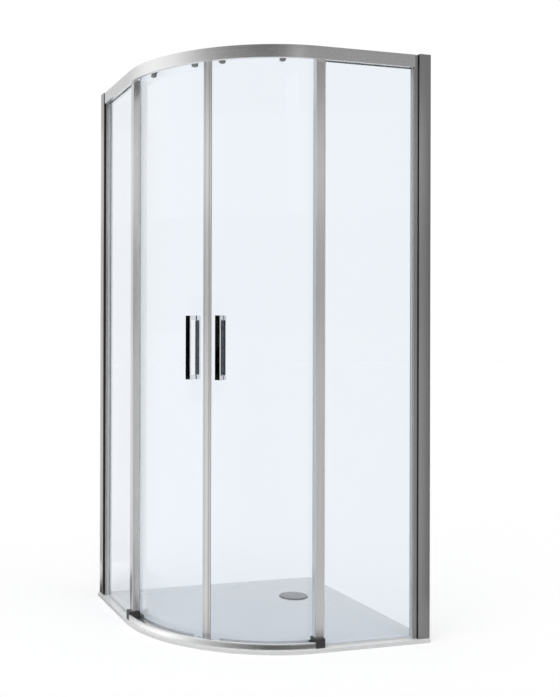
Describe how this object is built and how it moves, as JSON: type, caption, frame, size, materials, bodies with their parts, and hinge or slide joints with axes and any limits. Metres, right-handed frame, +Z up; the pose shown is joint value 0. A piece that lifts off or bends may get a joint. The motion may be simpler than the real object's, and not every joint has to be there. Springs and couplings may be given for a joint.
{
  "type": "quadrant shower enclosure",
  "caption": "Curved-front corner shower enclosure with a slim tray, fixed side glass and two curved sliding doors that meet in the middle.",
  "frame": {"origin": "on the floor under the middle of the tray's square outline", "axes": "+Z up; +X and +Y point at the two room walls, so the rounded front faces -X and -Y"},
  "size_m": [0.9, 0.9, 1.936],
  "materials": {
    "tray": "gloss white acrylic",
    "waste": "satin",
    "cover": "polished",
    "satin_frame": "satin anodised",
    "glass": "clear toughened",
    "dark_plastic": "satin",
    "clear_seal": "translucent",
    "wheel": "satin",
    "steel": "satin",
    "hanger": "satin",
    "chrome": "polished",
    "rubber": "matt",
    "grey_plastic": "satin"
  },
  "bodies": {
    "frame": {"base_seals": "clear_seal", "channel_caps": "grey_plastic", "channel_wipers": "rubber", "curved_sill": "satin_frame", "drain_flange": "waste", "fin_seals": "clear_seal", "head_seals": "clear_seal", "left_edge_post": "satin_frame", "left_fixed_glass": "glass", "left_frame_profile": "satin_frame", "left_guide_block": "dark_plastic", "left_wall_channel": "satin_frame", "lock_screws": "steel", "post_gaskets": "clear_seal", "post_screws": "steel", "rail_brackets": "steel", "rail_screws": "steel", "rail_stops": "rubber", "right_edge_post": "satin_frame", "right_fixed_glass": "glass", "right_frame_profile": "satin_frame", "right_guide_block": "dark_plastic", "right_wall_channel": "satin_frame", "screw_caps": "grey_plastic", "shower_tray": "tray", "top_rail": "satin_frame", "wall_gaskets": "clear_seal"},
    "drain_cover": {"drain_cover": "cover"},
    "left_door": {"left_door_glass": "glass", "left_meeting_seal": "clear_seal", "left_rear_seal": "clear_seal", "left_drip_seal": "clear_seal", "left_guide_shoe": "dark_plastic", "left_roller_carriers": "hanger", "left_roller_axles": "steel", "left_roller_clamps": "hanger", "left_handle_outer": "chrome", "left_handle_inner": "chrome", "left_handle_washers": "rubber", "left_handle_bolts": "steel"},
    "right_door": {"right_door_glass": "glass", "right_meeting_seal": "clear_seal", "right_rear_seal": "clear_seal", "right_drip_seal": "clear_seal", "right_guide_shoe": "dark_plastic", "right_roller_carriers": "hanger", "right_roller_axles": "steel", "right_roller_clamps": "hanger", "right_handle_outer": "chrome", "right_handle_inner": "chrome", "right_handle_washers": "rubber", "right_handle_bolts": "steel"},
    "left_front_roller": {"left_front_wheel": "wheel", "left_front_bearing": "steel"},
    "left_rear_roller": {"left_rear_wheel": "wheel", "left_rear_bearing": "steel"},
    "right_front_roller": {"right_front_wheel": "wheel", "right_front_bearing": "steel"},
    "right_rear_roller": {"right_rear_wheel": "wheel", "right_rear_bearing": "steel"}
  },
  "joints": [
    {"name": "drain_cover_lift", "type": "slide", "parent": "frame", "child": "drain_cover", "axis": [0, 0, 1], "range_m": [0, 0.06]},
    {"name": "left_door_slide", "type": "hinge", "parent": "frame", "child": "left_door", "pos_m": [0.05, 0.05, 1.9093], "axis": [0, 0, -1], "range_deg": [0, 28]},
    {"name": "left_front_roller_turn", "type": "hinge", "parent": "left_door", "child": "left_front_roller", "pos_m": [-0.32863, -0.25334, 1.9093], "axis": [-0.7804, -0.6252, 0], "continuous": true},
    {"name": "left_rear_roller_turn", "type": "hinge", "parent": "left_door", "child": "left_rear_roller", "pos_m": [-0.42175, -0.06326, 1.9093], "axis": [-0.9724, -0.2334, 0], "continuous": true},
    {"name": "right_door_slide", "type": "hinge", "parent": "frame", "child": "right_door", "pos_m": [0.05, 0.05, 1.9093], "axis": [0, 0, 1], "range_deg": [0, 28]},
    {"name": "right_front_roller_turn", "type": "hinge", "parent": "right_door", "child": "right_front_roller", "pos_m": [-0.25334, -0.32863, 1.9093], "axis": [-0.6252, -0.7804, 0], "continuous": true},
    {"name": "right_rear_roller_turn", "type": "hinge", "parent": "right_door", "child": "right_rear_roller", "pos_m": [-0.06326, -0.42175, 1.9093], "axis": [-0.2334, -0.9724, 0], "continuous": true}
  ],
  "couplings": [
    {"joint": "left_front_roller_turn", "follows": "left_door_slide", "ratio": 40.429},
    {"joint": "left_rear_roller_turn", "follows": "left_door_slide", "ratio": 40.429},
    {"joint": "right_front_roller_turn", "follows": "right_door_slide", "ratio": -40.429},
    {"joint": "right_rear_roller_turn", "follows": "right_door_slide", "ratio": -40.429}
  ]
}
